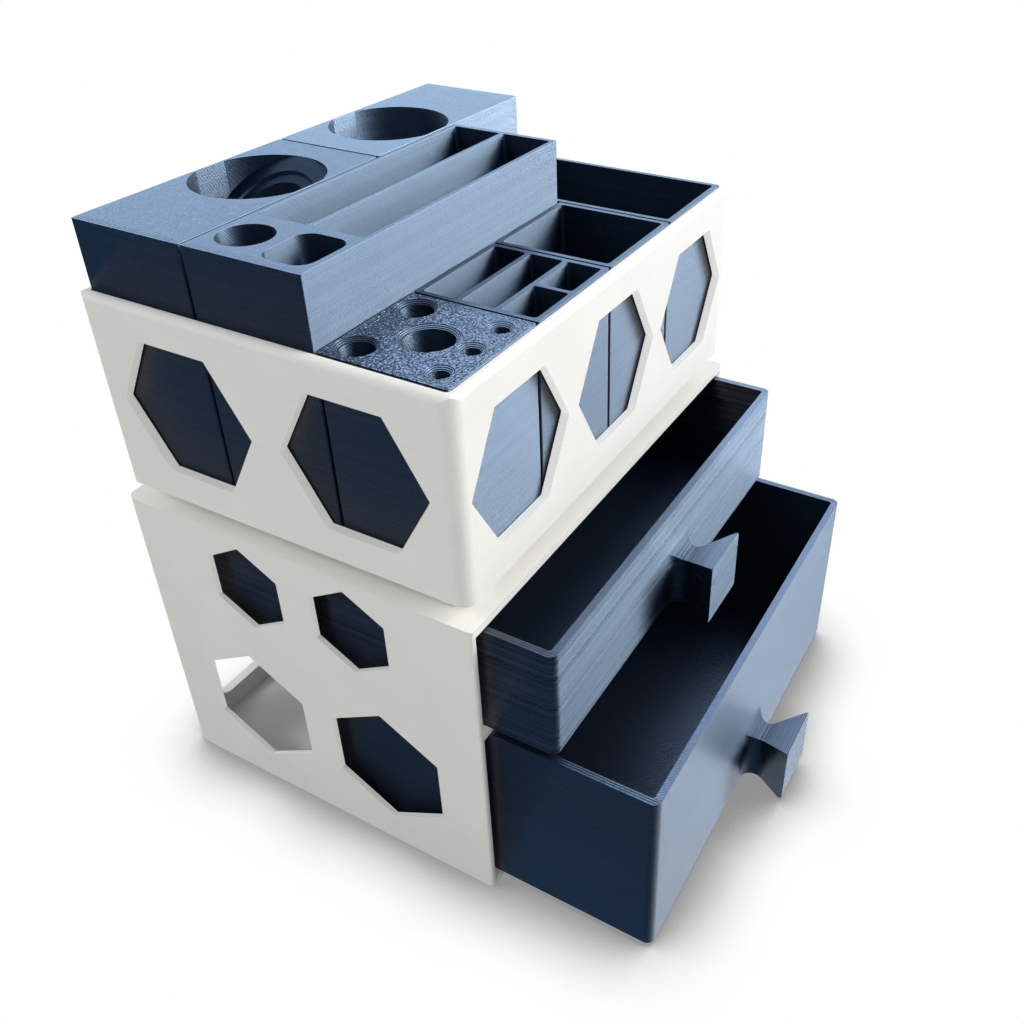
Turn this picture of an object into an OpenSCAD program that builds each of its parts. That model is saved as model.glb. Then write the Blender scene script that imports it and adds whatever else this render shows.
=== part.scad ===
// Hobby workstation organizer: a two-drawer chest with a crate of insert blocks standing on it.
// Millimetres, +Z up. The origin is the middle of the chest's underside, and its front faces -Y.

/* [Chest] */
// Width of the chest, side to side
chest_w = 126; // [116:1:150]
// Depth of the chest, front to back
chest_d = 97; // [92:1:130]
// Clear height of the lower bay
lower_bay_h = 48; // [43:1:80]
// Clear height of the upper bay
upper_bay_h = 28; // [28:1:60]
// Thickness of the side walls
side_t = 1.2; // [1.2:0.1:3]
// Thickness of the floor and of the top
plate_t = 2; // [1.2:0.1:4]
// Thickness of the shelf between the bays
shelf_t = 1.6; // [1.2:0.1:4]
// Thickness of the back wall
back_t = 2.6; // [1.2:0.1:4]
// Radius of the two rear vertical edges
rear_edge_r = 3; // [1:0.5:6]
// Radius of the two front vertical edges
front_edge_r = 0.7; // [0.3:0.1:0.8]

/* [Chest windows] */
// Radius of the upper six-sided windows, to a corner
upper_window_r = 11.7; // [6:0.1:12]
// Distance between the upper windows
upper_window_pitch = 29.8; // [24:0.1:50]
// Height of the upper windows' middle above the shelf
upper_window_rise = 15.5; // [13:0.1:16]
// Radius of the lower six-sided windows, to a corner
lower_window_r = 17.5; // [8:0.1:19]
// Distance between the lower windows
lower_window_pitch = 39.6; // [36:0.1:50]
// Height of the lower windows' middle above the floor
lower_window_rise = 24.6; // [20:0.1:27]
// How far forward of the chest's middle the windows sit
window_forward = 0.7; // [0:0.1:2]
// Frame left round each back opening, measured from its bay
back_frame = 6.3; // [3:0.1:9]
// Corner radius of the back openings
back_opening_r = 5; // [2:0.5:6]

/* [Drawers] */
// How far the lower drawer stands open
lower_open = 39.7; // [0:0.1:80]
// How far the upper drawer stands open
upper_open = 16.3; // [0:0.1:80]
// Gap between a drawer and each side wall
drawer_side_gap = 2.5; // [0.3:0.1:3]
// Gap above a drawer
drawer_top_gap = 0.4; // [0.3:0.1:2]
// Gap behind a closed drawer
drawer_back_gap = 0.4; // [0.3:0.1:2]
// Thickness of the drawer walls
drawer_wall = 1.7; // [1:0.1:3]
// Thickness of the drawer floors
drawer_floor = 1.6; // [1:0.1:3]
// Radius of the drawers' outer vertical edges
drawer_edge_r = 2; // [1:0.5:4]
// Radius of the drawers' inner vertical edges
drawer_inner_r = 0.8; // [0.3:0.1:3]

/* [Knobs] */
// How far a knob stands out from its drawer
knob_reach = 12; // [9:0.5:20]
// Width of the knob's plate
knob_w = 16; // [12:0.5:24]
// Height of the knob's plate above the drawer's underside
knob_h = 17.5; // [16.5:0.5:22]
// Width of the knob's neck
neck_w = 6.2; // [4:0.1:9]
// Height of the knob's neck
neck_h = 13.2; // [9:0.1:15]
// Radius of the hollow where the neck meets the drawer
root_r = 3.2; // [1:0.1:4]
// Radius of the plate's top corners
plate_corner_r = 1; // [0.3:0.1:2]
// Bevel under the plate
plate_bevel = 1.2; // [0.3:0.1:3]

/* [Crate] */
// Size of one grid cell
pitch = 30; // [30:1:45]
// Number of cells across the crate
column_count = 4; // [4]
// Number of cells from the crate's front to its back
row_count = 3; // [3]
// Clear depth of the crate
crate_inner_h = 44.7; // [36:0.1:60]
// Thickness of the crate's walls
crate_wall = 2; // [1.7:0.1:3]
// Thickness of the crate's floor
crate_floor = 2.3; // [1.2:0.1:4]
// Radius of the crate's outer vertical edges
crate_edge_r = 3; // [1.5:0.5:6]
// Radius of the crate's inner vertical edges
crate_inner_r = 1; // [0.3:0.1:1]
// Rounding of the crate's top outer edge
crate_rim_r = 1.5; // [0.3:0.1:1.6]
// How far forward of the chest's middle the crate stands
crate_forward = 0.7; // [0:0.1:2]
// Radius of the crate's six-sided windows, to a corner
crate_window_r = 18.2; // [8:0.1:18.3]
// Distance between the windows of the crate's front and back
front_window_pitch = 40.3; // [37:0.1:41]
// Distance between the windows of the crate's sides
side_window_pitch = 43.9; // [37:0.1:48]

/* [Crate feet] */
// Diameter of a foot
foot_d = 11; // [6:0.5:16]
// Height of a foot
foot_h = 4.8; // [2:0.1:10]
// Distance from the crate's outer sides to a foot's middle
foot_inset = 9; // [8:0.5:14]
// Bevel round a foot's lower edge
foot_bevel = 0.6; // [0.2:0.1:1.5]

/* [Insert blocks] */
// Height of the low blocks
low_h = 45; // [30:1:70]
// Height of the tall blocks
tall_h = 60; // [46:1:90]
// Gap between a block and the edge of its cells
insert_gap = 0.3; // [0.2:0.1:0.6]
// Thickness of the block walls
insert_wall = 1.2; // [0.8:0.1:2.4]
// Thickness of the dividers
divider_t = 1.1; // [0.8:0.1:2.4]
// Thickness of the block floors
insert_floor = 1.5; // [0.8:0.1:4]
// Radius of the blocks' outer vertical edges
insert_edge_r = 0.4; // [0.3:0.1:2]
// Radius of the hollows' vertical edges
pocket_r = 0.8; // [0.3:0.1:2]

/* [Bottle blocks] */
// Diameter of the two bottle bores
bottle_d = 29.8; // [24:0.1:31]
// Distance from a block's middle to its bore, towards the crate's middle
bottle_shift = 7; // [0:0.1:10]
// Thickness of the thin wall where a bore meets the block's side
thin_wall = 0.4; // [0.4:0.1:1.2]
// Tilt of the sloping seat in the stepped bore
seat_tilt = 35; // [10:1:38]
// Diameter of the recess in the sloping seat
seat_recess_d = 23.2; // [21:0.1:26]
// Depth of the recess in the sloping seat
seat_recess_h = 0.8; // [0.4:0.1:2]
// Diameter of the bore below the sloping seat
seat_bore_d = 19.4; // [10:0.1:20]

/* [Pen block] */
// Length of the end that holds the two pen holes
pen_end = 19.1; // [18:0.1:24]
// Diameter of the round pen hole
pen_round_d = 11.6; // [6:0.1:12]
// Length of the square pen hole
pen_square_w = 14; // [8:0.1:15]
// Width of the square pen hole
pen_square_d = 11.8; // [8:0.1:12]
// Corner radius of the square pen hole
pen_square_r = 3.5; // [1:0.1:4]
// Distance from the block's middle line to the middle of each pen hole
pen_hole_offset = 7.3; // [7:0.1:7.6]

/* [Tool-hole block] */
// Diameter of the large hole
tool_large_d = 10.4; // [6:0.1:11]
// Diameter of the two middle-sized holes
tool_medium_d = 7; // [4:0.1:7.6]
// Diameter of the three small holes
tool_small_d = 3.8; // [2:0.1:5]
// Distance from the large hole to each row of other holes, front to back
tool_row = 9.6; // [9.4:0.1:10.2]
// Distance between the middle-sized holes
tool_medium_pitch = 18.4; // [16:0.1:20]
// Distance between the small holes
tool_small_pitch = 9.9; // [8:0.1:11]
// Bevel round each hole
tool_bevel = 0.8; // [0.2:0.1:1]
// Solid left under the deepest hole
tool_floor = 5; // [1:0.5:8]
// Step from the bottom of one hole up to that of the next shallower one
tool_depth_step = 2; // [0.5:0.5:3]

/* [Hidden] */

// Number of straight steps that a full circle is drawn with
$fn = 64;
// Sides of a window
hex_sides = 6;
// How far a cut runs past the face it opens
overrun = 1;

ivory = [0.93, 0.93, 0.90];
navy = [0.17, 0.24, 0.37];

// Levels of the chest
shelf_z = plate_t + lower_bay_h;
upper_bay_z = shelf_z + shelf_t;
chest_h = upper_bay_z + upper_bay_h + plate_t;
bay_w = chest_w - 2 * side_t;
bay_d = chest_d - back_t;
bay_back_y = chest_d / 2 - back_t;

// Outer sizes of the drawers
drawer_w = bay_w - 2 * drawer_side_gap;
drawer_d = bay_d - drawer_back_gap;
lower_drawer_h = lower_bay_h - drawer_top_gap;
upper_drawer_h = upper_bay_h - drawer_top_gap;

// Place and size of the crate
crate_inner_w = column_count * pitch;
crate_inner_d = row_count * pitch;
crate_w = crate_inner_w + 2 * crate_wall;
crate_d = crate_inner_d + 2 * crate_wall;
crate_h = crate_floor + crate_inner_h;
crate_y = -crate_forward;
crate_z = chest_h + foot_h;
insert_z = crate_z + crate_floor;

// Clear width of a block that is one cell deep
one_cell_inner = pitch - 2 * insert_gap - 2 * insert_wall;

// Rectangle round the origin with rounded corners
module rounded_rect(w, d, r) {
    square([w - 2 * r, d], center = true);
    square([w, d - 2 * r], center = true);
    for (sx = [-1, 1], sy = [-1, 1])
        translate([sx * (w / 2 - r), sy * (d / 2 - r)])
            circle(r = r);
}

// Upright prism on a rounded rectangle
module rounded_prism(w, d, h, r) {
    linear_extrude(h)
        rounded_rect(w, d, r);
}

// Six-sided prism along X with a corner at its top
module pointed_window_cut(r, length) {
    rotate([0, 90, 0])
        cylinder(r = r, h = length, center = true, $fn = hex_sides);
}

// Six-sided prism along X with a flat side at its top
module flat_window_cut(r, length) {
    rotate([90, 0, 90])
        cylinder(r = r, h = length, center = true, $fn = hex_sides);
}

// Space of one bay, open at the front
module bay_cut(z, h) {
    translate([-bay_w / 2, -chest_d / 2 - overrun, z])
        cube([bay_w, bay_d + overrun, h]);
}

// Opening in the back wall behind one bay
module back_opening_cut(z, h) {
    translate([0, chest_d / 2 + overrun, z + h / 2])
        rotate([90, 0, 0])
            rounded_prism(bay_w - 2 * back_frame, h - 2 * back_frame, back_t + 2 * overrun, back_opening_r);
}

module chest_shell() {
    color(ivory)
        difference() {
            linear_extrude(chest_h) {
                rounded_rect(chest_w, chest_d, rear_edge_r);
                translate([0, -chest_d / 4])
                    rounded_rect(chest_w, chest_d / 2, front_edge_r);
            }
            bay_cut(plate_t, lower_bay_h);
            bay_cut(upper_bay_z, upper_bay_h);
            back_opening_cut(plate_t, lower_bay_h);
            back_opening_cut(upper_bay_z, upper_bay_h);
            for (side = [-1, 1]) {
                translate([0, side * upper_window_pitch / 2 - window_forward, upper_bay_z + upper_window_rise])
                    pointed_window_cut(upper_window_r, chest_w + 2 * overrun);
                translate([0, side * lower_window_pitch / 2 - window_forward, plate_t + lower_window_rise])
                    pointed_window_cut(lower_window_r, chest_w + 2 * overrun);
            }
        }
}

// Point where the line from p touches the circle, on the side that faces the knob's middle
function touch_point(c, r, p) =
    let (v = p - c, turn = atan2(v[1], v[0]) - acos(r / norm(v)))
    c + r * [cos(turn), sin(turn)];

// Half outline of a knob from its middle line out: a hollow root, a neck and a straight flare
module flare(neck, tip) {
    hollow = [root_r, neck + root_r];
    end = [knob_reach, tip];
    difference() {
        polygon([[-drawer_wall / 2, 0], [-drawer_wall / 2, neck + root_r], [0, neck + root_r],
            touch_point(hollow, root_r, end), end, [knob_reach, 0]]);
        translate(hollow)
            circle(r = root_r);
    }
}

// Knob on the middle of a drawer's front, which lies in the plane y = 0
module knob() {
    intersection() {
        rotate([0, 0, -90])
            linear_extrude(knob_h + overrun) {
                flare(neck_w / 2, knob_w / 2);
                mirror([0, 1])
                    flare(neck_w / 2, knob_w / 2);
            }
        rotate([90, 0, -90])
            linear_extrude(knob_w + 2 * overrun, center = true)
                difference() {
                    flare(neck_h, knob_h);
                    translate([knob_reach, 0])
                        polygon([[0, -plate_bevel], [plate_bevel, 0], [0, plate_bevel], [-plate_bevel, 0]]);
                }
        translate([0, drawer_wall, 0])
            rotate([90, 0, 0])
                rounded_prism(knob_w, 2 * knob_h, knob_reach + drawer_wall + overrun, plate_corner_r);
    }
}

// Drawer tray with its knob, closed until it is moved
module drawer(h) {
    difference() {
        rounded_prism(drawer_w, drawer_d, h, drawer_edge_r);
        translate([0, 0, drawer_floor])
            rounded_prism(drawer_w - 2 * drawer_wall, drawer_d - 2 * drawer_wall, h, drawer_inner_r);
    }
    translate([0, -drawer_d / 2, 0])
        knob();
}

// Moves a drawer into its bay, standing open by the given length
module in_bay(z, open) {
    translate([0, (drawer_d - chest_d) / 2 - open, z])
        children();
}

module upper_drawer() {
    color(navy)
        in_bay(upper_bay_z, upper_open)
            drawer(upper_drawer_h);
}

module lower_drawer() {
    color(navy)
        in_bay(plate_t, lower_open)
            drawer(lower_drawer_h);
}

// Upright bar with its upper edges rounded, along X
module round_topped_bar(length, w, h, r) {
    rotate([90, 0, 90])
        linear_extrude(length, center = true) {
            translate([-w / 2, 0])
                square([w, h - r]);
            translate([-w / 2 + r, 0])
                square([w - 2 * r, h]);
            for (side = [-1, 1])
                translate([side * (w / 2 - r), h - r])
                    circle(r = r);
        }
}

module crate() {
    color(ivory)
        translate([0, crate_y, crate_z])
            difference() {
                intersection() {
                    rounded_prism(crate_w, crate_d, crate_h, crate_edge_r);
                    round_topped_bar(crate_w + 2 * overrun, crate_d, crate_h, crate_rim_r);
                    rotate([0, 0, 90])
                        round_topped_bar(crate_d + 2 * overrun, crate_w, crate_h, crate_rim_r);
                }
                translate([0, 0, crate_floor])
                    rounded_prism(crate_inner_w, crate_inner_d, crate_h, crate_inner_r);
                for (side = [-1, 1])
                    translate([0, side * side_window_pitch / 2, crate_h / 2])
                        flat_window_cut(crate_window_r, crate_w + 2 * overrun);
                for (column = [-1, 0, 1])
                    translate([column * front_window_pitch, 0, crate_h / 2])
                        rotate([0, 0, 90])
                            flat_window_cut(crate_window_r, crate_d + 2 * overrun);
            }
}

module crate_feet() {
    color(ivory)
        for (sx = [-1, 1], sy = [-1, 1])
            translate([sx * (crate_w / 2 - foot_inset), crate_y + sy * (crate_d / 2 - foot_inset), chest_h]) {
                cylinder(d1 = foot_d - 2 * foot_bevel, d2 = foot_d, h = foot_bevel);
                translate([0, 0, foot_bevel])
                    cylinder(d = foot_d, h = foot_h - foot_bevel);
            }
}

// Puts a block of nx by ny cells into the crate, its first cell at the given column and row
module at_cell(column, row, nx, ny) {
    translate([(column + nx / 2 - column_count / 2) * pitch, crate_y + (row + ny / 2 - row_count / 2) * pitch, insert_z])
        children();
}

// Solid block of nx by ny cells
module block(nx, ny, h) {
    rounded_prism(nx * pitch - 2 * insert_gap, ny * pitch - 2 * insert_gap, h, insert_edge_r);
}

// Straight-sided hollow down to the block's floor
module pocket_cut(w, d, h) {
    translate([0, 0, insert_floor])
        rounded_prism(w, d, h, pocket_r);
}

// Round bore of a bottle block, held inside the block's sides by its thin walls
module bottle_cut(floor_z) {
    intersection() {
        translate([0, 0, floor_z])
            cylinder(d = bottle_d, h = tall_h);
        translate([-bottle_d, -pitch / 2 + insert_gap + thin_wall, 0])
            cube([2 * bottle_d, pitch - 2 * insert_gap - 2 * thin_wall, 2 * tall_h]);
    }
}

// Space above a plane that slopes down from the bore's rim on the +X side, lowered by drop
module above_seat(drop) {
    translate([bottle_d / 2, 0, tall_h - drop])
        rotate([0, -seat_tilt, 0])
            translate([-2 * bottle_d, -bottle_d, 0])
                cube([3 * bottle_d, 2 * bottle_d, 2 * bottle_d]);
}

module stepped_bottle_block() {
    color(navy)
        at_cell(0, 2, 2, 1)
            difference() {
                block(2, 1, tall_h);
                translate([bottle_shift, 0, 0]) {
                    intersection() {
                        bottle_cut(insert_floor);
                        above_seat(0);
                    }
                    intersection() {
                        cylinder(d = seat_recess_d, h = tall_h + overrun);
                        above_seat(seat_recess_h);
                    }
                    translate([0, 0, insert_floor])
                        cylinder(d = seat_bore_d, h = tall_h);
                }
            }
}

module plain_bottle_block() {
    color(navy)
        at_cell(2, 2, 2, 1)
            difference() {
                block(2, 1, tall_h);
                translate([-bottle_shift, 0, 0])
                    bottle_cut(insert_floor);
            }
}

module pen_block() {
    outer_w = 3 * pitch - 2 * insert_gap;
    slot_w = outer_w - pen_end - insert_wall;
    slot_d = (one_cell_inner - divider_t) / 2;
    color(navy)
        at_cell(0, 1, 3, 1)
            difference() {
                block(3, 1, tall_h);
                for (side = [-1, 1])
                    translate([(pen_end - insert_wall) / 2, side * (slot_d + divider_t) / 2, 0])
                        pocket_cut(slot_w, slot_d, tall_h);
                translate([(pen_end - outer_w) / 2, 0, insert_floor]) {
                    translate([0, pen_hole_offset, 0])
                        cylinder(d = pen_round_d, h = tall_h);
                    translate([0, -pen_hole_offset, 0])
                        rounded_prism(pen_square_w, pen_square_d, tall_h, pen_square_r);
                }
            }
}

// Round tool hole with a bevelled mouth, as many steps shallower than the deepest as given
module tool_hole_cut(d, steps) {
    translate([0, 0, tool_floor + steps * tool_depth_step])
        cylinder(d = d, h = low_h);
    translate([0, 0, low_h - tool_bevel])
        cylinder(d1 = d, d2 = d + 4 * tool_bevel, h = 2 * tool_bevel);
}

module tool_hole_block() {
    color(navy)
        at_cell(0, 0, 1, 1)
            difference() {
                block(1, 1, low_h);
                tool_hole_cut(tool_large_d, 0);
                for (column = [0, 1])
                    translate([(column - 1 / 2) * tool_medium_pitch, tool_row, 0])
                        tool_hole_cut(tool_medium_d, 1 + column);
                for (column = [0, 1, 2])
                    translate([(column - 1) * tool_small_pitch, -tool_row, 0])
                        tool_hole_cut(tool_small_d, 3 + column);
            }
}

module divider_box() {
    lane = (one_cell_inner - 2 * divider_t) / 3;
    half = (one_cell_inner - divider_t) / 2;
    color(navy)
        at_cell(1, 0, 1, 1)
            difference() {
                block(1, 1, low_h);
                for (row = [0, 1])
                    translate([0, row * (lane + divider_t), 0])
                        pocket_cut(one_cell_inner, lane, low_h);
                for (side = [-1, 1])
                    translate([side * (half + divider_t) / 2, -lane - divider_t, 0])
                        pocket_cut(half, lane, low_h);
            }
}

// Open box of nx by ny cells
module open_box(nx, ny) {
    difference() {
        block(nx, ny, low_h);
        pocket_cut(nx * pitch - 2 * insert_gap - 2 * insert_wall,
            ny * pitch - 2 * insert_gap - 2 * insert_wall, low_h);
    }
}

module small_box() {
    color(navy)
        at_cell(2, 0, 1, 1)
            open_box(1, 1);
}

module long_box() {
    color(navy)
        at_cell(3, 0, 1, 2)
            open_box(1, 2);
}

chest_shell();
upper_drawer();
lower_drawer();
crate();
crate_feet();
stepped_bottle_block();
plain_bottle_block();
pen_block();
tool_hole_block();
divider_box();
small_box();
long_box();
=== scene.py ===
from math import radians

import bpy
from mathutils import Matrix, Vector


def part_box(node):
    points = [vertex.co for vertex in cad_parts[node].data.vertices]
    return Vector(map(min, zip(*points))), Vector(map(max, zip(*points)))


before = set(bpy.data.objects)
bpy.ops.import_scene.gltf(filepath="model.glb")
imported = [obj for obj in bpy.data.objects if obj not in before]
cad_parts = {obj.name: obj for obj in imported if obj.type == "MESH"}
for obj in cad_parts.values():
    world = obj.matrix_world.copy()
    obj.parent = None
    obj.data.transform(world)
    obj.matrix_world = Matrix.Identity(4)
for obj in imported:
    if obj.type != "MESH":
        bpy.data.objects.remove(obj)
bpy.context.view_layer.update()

# Looks of the hobby workstation organizer: every solid keeps its CAD shape and is dressed in printed plastic.
# Lengths are in metres.
MM = 0.001
WHITE = (1.0, 1.0, 1.0)
DIAGONAL = 2 ** -0.5

# How the object was printed: height of a layer, width of a line of plastic, and lines that follow a top's sides
LAYER = 0.28 * MM
BEAD = 0.60 * MM
OUTLINES = 3

# Tilt of the lines on flat tops, as shares of that between layers
OUTLINE_TILT = 0.45
FILL_TILT = 0.12

# Levelness is 0 on a wall and 1 on a flat top. Where flat tops, stairs and slopes begin
FLAT_FROM, FLAT_TO = 0.985, 0.995
STAIRS_FROM = 0.05
SLOPE_FROM, SLOPE_TO = 0.05, 0.2

# Least share of a layer's height that is riser
LEAST_RISER = 0.05

# Noises: repeats per metre, detail and roughness
FACETS = (2100.0, 0.5, 0.6)
GRAIN = (1500.0, 2.0, 0.6)
BANDS = (800.0, 3.0, 0.75)
BLOTCHES = (45.0, 4.0, 0.6)

# Middle value of a noise or a random number, and of the noise that makes bands
NOISE_MIDDLE = 0.5
BAND_MIDDLE = 0.58

# How high the grain stands, and how much it and the bands change the roughness
GRAIN_HEIGHT = 0.025 * MM
GRAIN_ROUGHNESS = 0.16
BAND_ROUGHNESS = 0.9

# How much painted shade darkens the grooves, how much layers, bands and blotches darken the plastic, and how narrow a
# groove is
GROOVE_PAINTED_SHADE = 0.2
TOP_GROOVE_PAINTED_SHADE = 0.6
LAYER_SHADE = 0.8
BAND_SHADE = 2.0
BLOTCH_SHADE = 0.12
GROOVE_POWER = 4.0

# Painted light on the windows' cut edges, a glow that stands in for the light they would get: depth from a side,
# greatest lean outwards, colour, and the share of the painted light that is left on edges that face up
EDGE_DEPTH = 2.6 * MM
EDGE_LEAN = 0.3
PAINTED_EDGE_LIGHT_COLOUR = (1.0, 0.99, 0.95, 1.0)
EDGE_UP_FROM, EDGE_UP_TO = 0.3, 0.9
EDGE_UP_SHARE = 0.25

# Finishes, with the values that printed_plastic names. The ivory's two edge strengths are painted light on the windows'
# cut edges
IVORY = dict(
    colour=(0.80, 0.80, 0.765), tilt=0.18, steps=0.12, specular=0.04, roughness=0.62,
    streaks=0.025, stipple=0.02, slope_gloss=None, painted_edge_light=(0.27, 0.50),
)
NAVY = dict(
    colour=(0.0032, 0.0080, 0.0200), tilt=1.1, steps=1.0, specular=0.6, roughness=0.34,
    streaks=0.30, stipple=0.20, slope_gloss=1.0, painted_edge_light=None,
)
NAVY_BOX = dict(NAVY, specular=0.50)

FINISHES = {
    "chest_shell": IVORY,
    "crate": IVORY,
    "crate_feet": IVORY,
    "upper_drawer": dict(NAVY, streaks=0.90, specular=0.85),
    "lower_drawer": dict(NAVY, streaks=0.25),
    "stepped_bottle_block": dict(NAVY, stipple=0.55, steps=0.08, slope_gloss=0.25),
    "plain_bottle_block": dict(NAVY, stipple=0.30, specular=0.95),
    "pen_block": dict(NAVY, stipple=0.35),
    "tool_hole_block": dict(NAVY, stipple=2.0, specular=0.75),
    "divider_box": NAVY_BOX,
    "small_box": NAVY_BOX,
    "long_box": NAVY_BOX,
}

# Camera at the photograph's place, fitted to the object's edges
CAMERA_PLACE = (-182.65 * MM, -140.12 * MM, 221.45 * MM)
CAMERA_TURN = (radians(56.530), radians(0.382), radians(-60.951))
CAMERA_SENSOR = 36.0
CAMERA_LENS = 36.385
CAMERA_SHIFT = (-0.0661, -0.0538)
CAMERA_CLIP = 10 * MM

# Lamps, with the values that add_lamp names. Power is in watts
LAMPS = {
    "window": dict(
        place=(0.55, -1.0, 0.75), target=(0, 0, 0.05), size=0.8, power=13.8, colour=(1.0, 0.99, 0.97), gloss_only=False,
    ),
    "overhead": dict(
        place=(-0.70, 0.45, 0.85), target=(0, 0, 0.05), size=0.35, power=3.0, colour=WHITE, gloss_only=False,
    ),
    "glare": dict(
        place=(0.78, -0.78, 0.55), target=(0, 0, 0.08), size=1.1, power=72.0, colour=(0.58, 0.77, 1.0), gloss_only=True,
    ),
}

# Floor: half its side, how far it lies below the object, and its grey as other rays than the camera's meet it
FLOOR_HALF = 6.0
FLOOR_DROP = 0.1 * MM
FLOOR_GREY = (0.5, 0.5, 0.5, 1.0)

# Painted soft shadow on the floor, darker where less of the sky is open: its reach, the open share of the sky where it
# is darkest and ends, and its darkest value
SHADOW_REACH = 24 * MM
SHADOW_FROM, SHADOW_TO = 0.42, 0.98
SHADOW_DARKEST = 0.28

# Even light on the object
EVEN_LIGHT = (0.62, 0.62, 0.62)

# Room that gloss shows, by where it lies, and the ramps between its parts along X and Z
ROOM_LEFT = (0.06, 0.17, 0.38)
ROOM_UNDER = (1.70, 1.95, 2.30)
ROOM_LOW = (0.62, 0.78, 1.05)
ROOM_HIGH = (1.12, 1.62, 2.15)
ROOM_OVERHEAD = (4.8, 7.0, 10.8)
LEFT_TO_RIGHT = (-0.15, 0.35)
UNDER_TO_LOW = (-0.85, -0.50)
LOW_TO_HIGH = (-0.05, 0.12)
HIGH_TO_OVERHEAD = (0.40, 0.70)


class Number:
    """A number that a node tree works out. Comparisons give 1 where they hold and 0 elsewhere."""

    def __init__(self, graph, socket):
        self.graph = graph
        self.socket = socket

    def __add__(self, other):
        return self.graph.math("ADD", self, other)

    def __sub__(self, other):
        return self.graph.math("SUBTRACT", self, other)

    def __rsub__(self, other):
        return self.graph.math("SUBTRACT", other, self)

    def __mul__(self, other):
        return self.graph.math("MULTIPLY", self, other)

    def __truediv__(self, other):
        return self.graph.math("DIVIDE", self, other)

    def __pow__(self, other):
        return self.graph.math("POWER", self, other)

    def __lt__(self, other):
        return self.graph.math("LESS_THAN", self, other)

    def __gt__(self, other):
        return self.graph.math("GREATER_THAN", self, other)

    def __abs__(self):
        return self.graph.math("ABSOLUTE", self)


class Graph:
    """Adds nodes to a node tree, so that a material reads as formulas."""

    def __init__(self, tree):
        self.tree = tree
        tree.nodes.clear()

    def node(self, kind, inputs=None, **settings):
        made = self.tree.nodes.new(kind)
        for name, value in settings.items():
            setattr(made, name, value)
        for name, value in (inputs or {}).items():
            self.feed(made.inputs[name], value)
        return made

    def feed(self, socket, value):
        """Links a value that nodes work out, and sets any other on the socket."""
        if isinstance(value, Number):
            value = value.socket
        if isinstance(value, bpy.types.NodeSocket):
            self.tree.links.new(value, socket)
        else:
            socket.default_value = value

    def math(self, operation, *values, clamp=False):
        made = self.node("ShaderNodeMath", dict(enumerate(values)), operation=operation, use_clamp=clamp)
        return Number(self, made.outputs[0])

    def vector(self, operation, *values):
        return self.node("ShaderNodeVectorMath", dict(enumerate(values)), operation=operation).outputs[0]

    def unit(self, vector):
        return self.vector("NORMALIZE", vector)

    def scaled(self, vector, scale):
        return self.node("ShaderNodeVectorMath", {0: vector, "Scale": scale}, operation="SCALE").outputs[0]

    def dot(self, a, b):
        made = self.node("ShaderNodeVectorMath", {0: a, 1: b}, operation="DOT_PRODUCT")
        return Number(self, made.outputs["Value"])

    def split(self, vector):
        made = self.node("ShaderNodeSeparateXYZ", {"Vector": vector})
        return [Number(self, output) for output in made.outputs]

    def join(self, x, y, z):
        return self.node("ShaderNodeCombineXYZ", {"X": x, "Y": y, "Z": z}).outputs[0]

    def ramp(self, value, low, high, out_low=0.0, out_high=1.0):
        """A smooth ramp from out_low at low to out_high at high."""
        made = self.node(
            "ShaderNodeMapRange",
            {"Value": value, "From Min": low, "From Max": high, "To Min": out_low, "To Max": out_high},
            interpolation_type="SMOOTHSTEP",
        )
        return Number(self, made.outputs["Result"])

    def mix(self, factor, a, b):
        """The number a where factor is 0, and b where it is 1."""
        made = self.node("ShaderNodeMix", {0: factor, 2: a, 3: b}, data_type="FLOAT")
        return Number(self, made.outputs[0])

    def mix_vector(self, factor, a, b):
        """The vector or colour a where factor is 0, and b where it is 1."""
        return self.node("ShaderNodeMix", {0: factor, 4: a, 5: b}, data_type="VECTOR").outputs[1]

    def noise(self, vector, scale, detail, roughness):
        """The same noise as a number and as a vector."""
        made = self.node(
            "ShaderNodeTexNoise",
            {"Vector": vector, "Scale": scale, "Detail": detail, "Roughness": roughness},
        )
        return Number(self, made.outputs[0]), made.outputs["Color"]

    def across(self, position, pitch):
        """Runs from -1 to 1 across each line of the given pitch."""
        return self.math("FRACT", position / pitch) * 2.0 - 1.0

    def random_per_line(self, position, pitch):
        line = self.math("FLOOR", position / pitch)
        return Number(self, self.node("ShaderNodeTexWhiteNoise", {"W": line}, noise_dimensions="1D").outputs["Value"])

    def swing(self, value, middle, amount, base=1.0):
        """The base, plus amount for each unit by which the value is over its middle."""
        return self.math("MULTIPLY_ADD", value - middle, amount, base)


class Surface:
    """What the formulas know of a point on a node: place, normal, and the nearest side of the node's box."""

    def __init__(self, g, node):
        self.place = g.node("ShaderNodeTexCoord").outputs["Object"]
        self.normal = g.node("ShaderNodeNewGeometry").outputs["Normal"]
        self.x, self.y, self.z = g.split(self.place)
        self.normal_x, self.normal_y, self.normal_z = g.split(self.normal)
        self.levelness = abs(self.normal_z)
        self.is_flat = g.ramp(self.levelness, FLAT_FROM, FLAT_TO)

        low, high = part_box(node)
        middle, half = (low + high) / 2, (high - low) / 2
        from_middle_x = self.x - middle.x
        from_middle_y = self.y - middle.y
        past_side_x = abs(from_middle_x) - half.x
        past_side_y = abs(from_middle_y) - half.y
        self.top = high.z
        self.side_is_x = past_side_x > past_side_y
        self.past_side = g.math("MAXIMUM", past_side_x, past_side_y)
        self.outward = g.join(
            self.side_is_x * g.math("SIGN", from_middle_x),
            (1.0 - self.side_is_x) * g.math("SIGN", from_middle_y),
            0.0,
        )


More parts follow.
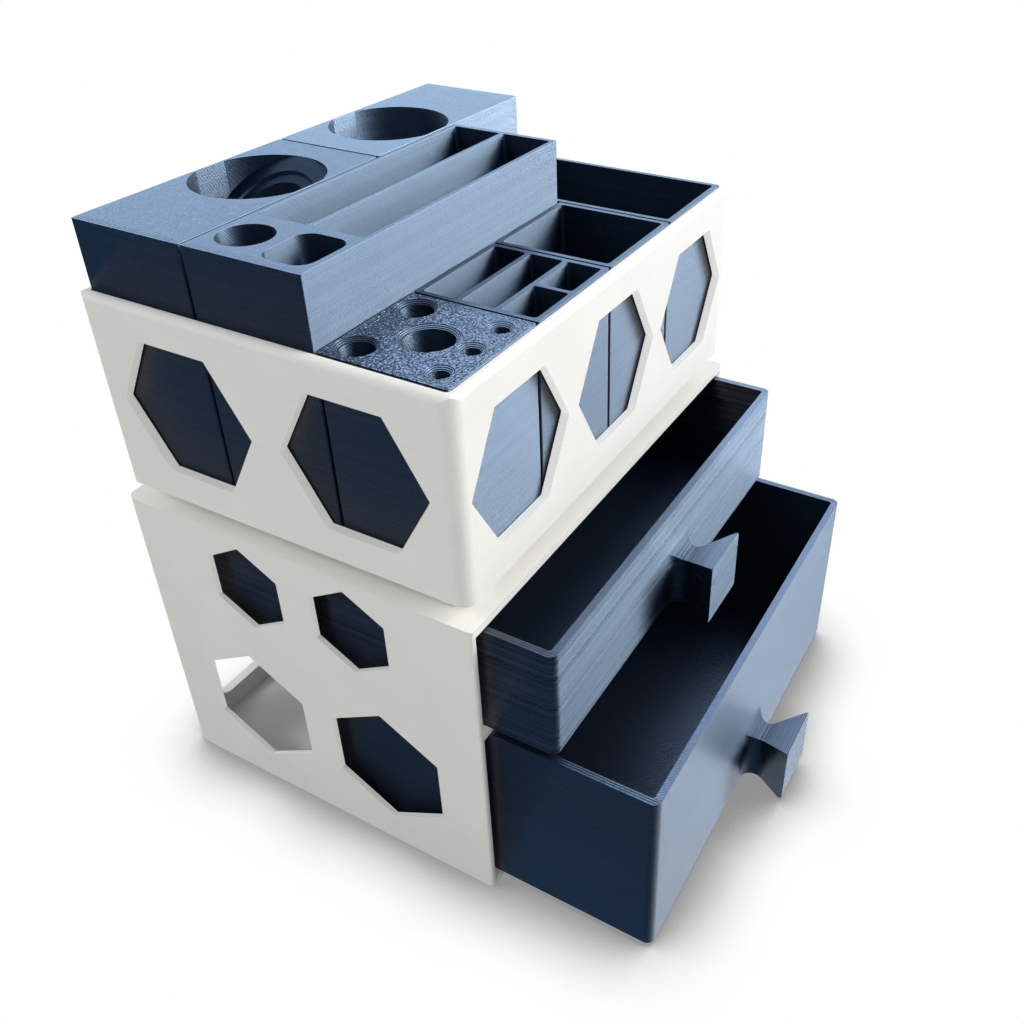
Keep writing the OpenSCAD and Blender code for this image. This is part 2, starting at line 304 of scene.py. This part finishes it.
def layered_normal(g, at, tilt, steps):
    """Normal on walls and slopes, and the way across a layer.

    A layer is a riser that bulges and, on a slope, the tread that it leaves bare.
    """
    level = g.math("FRACT", at.z / LAYER)
    sideways = g.math("SQRT", g.math("MAXIMUM", 1.0 - at.normal_z * at.normal_z, 0.0))
    riser_share = g.math("MAXIMUM", sideways / (sideways + at.levelness), LEAST_RISER)
    across = level / riser_share * 2.0 - 1.0
    riser_way = g.unit(g.join(at.normal_x, at.normal_y, 0.0))
    riser = g.vector("ADD", riser_way, g.join(0.0, 0.0, across * tilt))
    tread = g.join(0.0, 0.0, g.math("SIGN", at.normal_z))
    stairs = g.unit(g.mix_vector(level < riser_share, tread, riser))
    sharpness = g.mix(at.levelness > STAIRS_FROM, 1.0, steps)
    return g.mix_vector(sharpness, at.normal, stairs), across


def lined_normal(g, at, tilt):
    """Normal on flat tops, and the way across a line of plastic.

    Outlines follow the sides of the node's box, and diagonal fill lies inside them.
    """
    is_fill = at.past_side < -OUTLINES * BEAD
    across = g.mix(is_fill, g.across(at.past_side, BEAD), g.across((at.x + at.y) * DIAGONAL, BEAD))
    way = g.mix_vector(is_fill, at.outward, (DIAGONAL, DIAGONAL, 0.0))
    line_tilt = across * g.mix(is_fill, tilt * OUTLINE_TILT, tilt * FILL_TILT)
    return g.unit(g.vector("ADD", at.normal, g.scaled(way, line_tilt))), across


def painted_cut_edge_light(g, at, side_painted_light, front_painted_light):
    """Painted light: a glow on the windows' cut edges, in the side walls and in the front and back."""
    in_wall = at.past_side > -EDGE_DEPTH
    is_cut = abs(g.dot(at.normal, at.outward)) < EDGE_LEAN
    off_rim = (at.z < at.top - EDGE_DEPTH) * (at.z > EDGE_DEPTH)
    upward = g.ramp(at.normal_z, EDGE_UP_FROM, EDGE_UP_TO, 1.0, EDGE_UP_SHARE)
    return in_wall * is_cut * off_rim * upward * g.mix(at.side_is_x, front_painted_light, side_painted_light)


def printed_plastic(name, node, colour, tilt, steps, specular, roughness, streaks, stipple, slope_gloss, painted_edge_light):
    """Plastic in printed layers, as formulas of place and normal.

    tilt is that of the surface where two layers meet, steps is how sharp the stairs on slopes are, streaks is how
    much the layers differ, and stipple is how much flat tops sparkle. slope_gloss is the share of the gloss that
    slopes keep, or None where the gloss is even. The last argument has two strengths of painted light on the
    windows' cut edges, or is None.
    """
    material = bpy.data.materials.new(name)
    material.use_nodes = True
    g = Graph(material.node_tree)
    at = Surface(g, node)
    layer_way, across_layer = layered_normal(g, at, tilt, steps)
    top_way, across_line = lined_normal(g, at, tilt)
    grain, _ = g.noise(at.place, *GRAIN)
    blotch, _ = g.noise(at.place, *BLOTCHES)
    band, _ = g.noise(g.join(0.0, 0.0, at.z), *BANDS)
    _, facets = g.noise(at.place, *FACETS)

    # Flat tops sparkle from small facets, and everything has a fine grain
    facet_tilt = g.vector("SUBTRACT", facets, (NOISE_MIDDLE, NOISE_MIDDLE, NOISE_MIDDLE))
    facet_tilt = g.scaled(facet_tilt, at.is_flat * stipple)
    formed = g.unit(g.vector("ADD", g.mix_vector(at.is_flat, layer_way, top_way), facet_tilt))
    bump = g.node("ShaderNodeBump", {"Strength": 1.0, "Distance": GRAIN_HEIGHT, "Height": grain, "Normal": formed})

    # Painted shade darkens the grooves, and layers differ slightly in tone
    across = g.mix(at.is_flat, across_layer, across_line)
    groove = g.math("MINIMUM", abs(across), 1.0) ** GROOVE_POWER
    layer_shade = g.swing(g.random_per_line(at.z, LAYER), NOISE_MIDDLE, streaks * LAYER_SHADE)
    band_shade = g.swing(band, BAND_MIDDLE, streaks * BAND_SHADE)
    # Painted shade in the grooves between lines on flat tops
    top_groove_painted_shade = 1.0 - groove * (tilt * TOP_GROOVE_PAINTED_SHADE)
    streaks_and_painted_groove_shade = g.mix(at.is_flat, layer_shade * band_shade, top_groove_painted_shade)
    blotch_shade = g.swing(blotch, NOISE_MIDDLE, BLOTCH_SHADE)
    # The base colour carries the painted groove shade and the random tone of streaks and blotches
    shade = (1.0 - groove * (tilt * GROOVE_PAINTED_SHADE)) * streaks_and_painted_groove_shade * blotch_shade

    gloss = specular
    if slope_gloss is not None:
        is_slope = g.ramp(at.levelness, SLOPE_FROM, SLOPE_TO) * (1.0 - at.is_flat)
        gloss = streaks_and_painted_groove_shade * g.mix(is_slope, specular, specular * slope_gloss)
    grain_rough = g.swing(grain, NOISE_MIDDLE, GRAIN_ROUGHNESS, roughness)
    band_rough = g.mix(at.is_flat, (band - NOISE_MIDDLE) * (streaks * BAND_ROUGHNESS), 0.0)

    shader = g.node("ShaderNodeBsdfPrincipled", {
        "Base Color": g.scaled(colour, shade),
        "Roughness": g.math("ADD", grain_rough, band_rough, clamp=True),
        "Specular IOR Level": gloss,
        "Normal": bump.outputs[0],
    })
    # Painted light: the windows' cut edges glow, though they are no lamp
    if painted_edge_light:
        g.feed(shader.inputs["Emission Color"], PAINTED_EDGE_LIGHT_COLOUR)
        g.feed(shader.inputs["Emission Strength"], painted_cut_edge_light(g, at, *painted_edge_light))
    g.node("ShaderNodeOutputMaterial", {"Surface": shader.outputs[0]})
    return material


def dress_nodes():
    for name, finish in FINISHES.items():
        material = printed_plastic("plastic_" + name, name, **finish)
        node_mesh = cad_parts[name].data
        node_mesh.materials.clear()
        node_mesh.materials.append(material)


def add_camera():
    data = bpy.data.cameras.new("camera")
    data.sensor_width = CAMERA_SENSOR
    data.lens = CAMERA_LENS
    data.shift_x, data.shift_y = CAMERA_SHIFT
    data.clip_start = CAMERA_CLIP
    camera = bpy.data.objects.new("camera", data)
    camera.location = CAMERA_PLACE
    camera.rotation_euler = CAMERA_TURN
    bpy.context.scene.collection.objects.link(camera)
    bpy.context.scene.camera = camera


def add_lamp(name, place, target, size, power, colour, gloss_only):
    """Round lamp at a place, facing the target. It lights either gloss alone or everything but gloss."""
    data = bpy.data.lights.new(name, "AREA")
    data.shape = "DISK"
    data.size = size
    data.energy = power
    data.color = colour
    lamp = bpy.data.objects.new(name, data)
    lamp.location = place
    lamp.rotation_euler = (Vector(target) - Vector(place)).to_track_quat("-Z", "Y").to_euler()
    lamp.visible_diffuse = not gloss_only
    lamp.visible_glossy = gloss_only
    bpy.context.scene.collection.objects.link(lamp)


def floor_material():
    """White with a painted soft shadow to the camera, clear to gloss, and plain grey to all other rays."""
    material = bpy.data.materials.new("floor")
    material.use_nodes = True
    g = Graph(material.node_tree)
    path = g.node("ShaderNodeLightPath")
    diffuse = g.node("ShaderNodeBsdfDiffuse", {"Color": FLOOR_GREY})
    # Painted shadow: the camera sees the floor as emission, dimmed where nearby parts close off the sky
    open_sky = g.node("ShaderNodeAmbientOcclusion", {"Distance": SHADOW_REACH}).outputs["AO"]
    light = g.ramp(open_sky, SHADOW_FROM, SHADOW_TO, SHADOW_DARKEST, 1.0)
    white_with_painted_shadow = g.node("ShaderNodeEmission", {"Strength": light})
    clear = g.node("ShaderNodeBsdfTransparent")
    shader = diffuse
    for ray, other in (("Is Camera Ray", white_with_painted_shadow), ("Is Glossy Ray", clear)):
        shader = g.node("ShaderNodeMixShader", {0: path.outputs[ray], 1: shader.outputs[0], 2: other.outputs[0]})
    g.node("ShaderNodeOutputMaterial", {"Surface": shader.outputs[0]})
    return material


def add_floor():
    half = FLOOR_HALF
    mesh = bpy.data.meshes.new("floor")
    mesh.from_pydata([(-half, -half, 0), (half, -half, 0), (half, half, 0), (-half, half, 0)], [], [(0, 1, 2, 3)])
    mesh.materials.append(floor_material())
    floor = bpy.data.objects.new("floor", mesh)
    floor.location = (0, 0, -FLOOR_DROP)
    bpy.context.scene.collection.objects.link(floor)


def add_world():
    """White to the camera, and even light on the object.

    Gloss shows a pale room to the right, brightest and bluish overhead, and a dark blue one to the left.
    """
    world = bpy.data.worlds.new("world")
    bpy.context.scene.world = world
    world.use_nodes = True
    g = Graph(world.node_tree)
    path = g.node("ShaderNodeLightPath")
    way_x, _, way_z = g.split(g.node("ShaderNodeTexCoord").outputs["Generated"])
    room = g.mix_vector(g.ramp(way_z, *UNDER_TO_LOW), ROOM_UNDER, ROOM_LOW)
    room = g.mix_vector(g.ramp(way_z, *LOW_TO_HIGH), room, ROOM_HIGH)
    room = g.mix_vector(g.ramp(way_z, *HIGH_TO_OVERHEAD), room, ROOM_OVERHEAD)
    room = g.mix_vector(g.ramp(way_x, *LEFT_TO_RIGHT), ROOM_LEFT, room)
    light = g.mix_vector(path.outputs["Is Camera Ray"], EVEN_LIGHT, WHITE)
    light = g.mix_vector(path.outputs["Is Glossy Ray"], light, room)
    background = g.node("ShaderNodeBackground", {"Color": light, "Strength": 1.0})
    g.node("ShaderNodeOutputWorld", {"Surface": background.outputs[0]})


dress_nodes()
add_camera()
add_floor()
add_world()
for name, lamp in LAMPS.items():
    add_lamp(name, **lamp)

bpy.context.scene.view_settings.view_transform = "Standard"
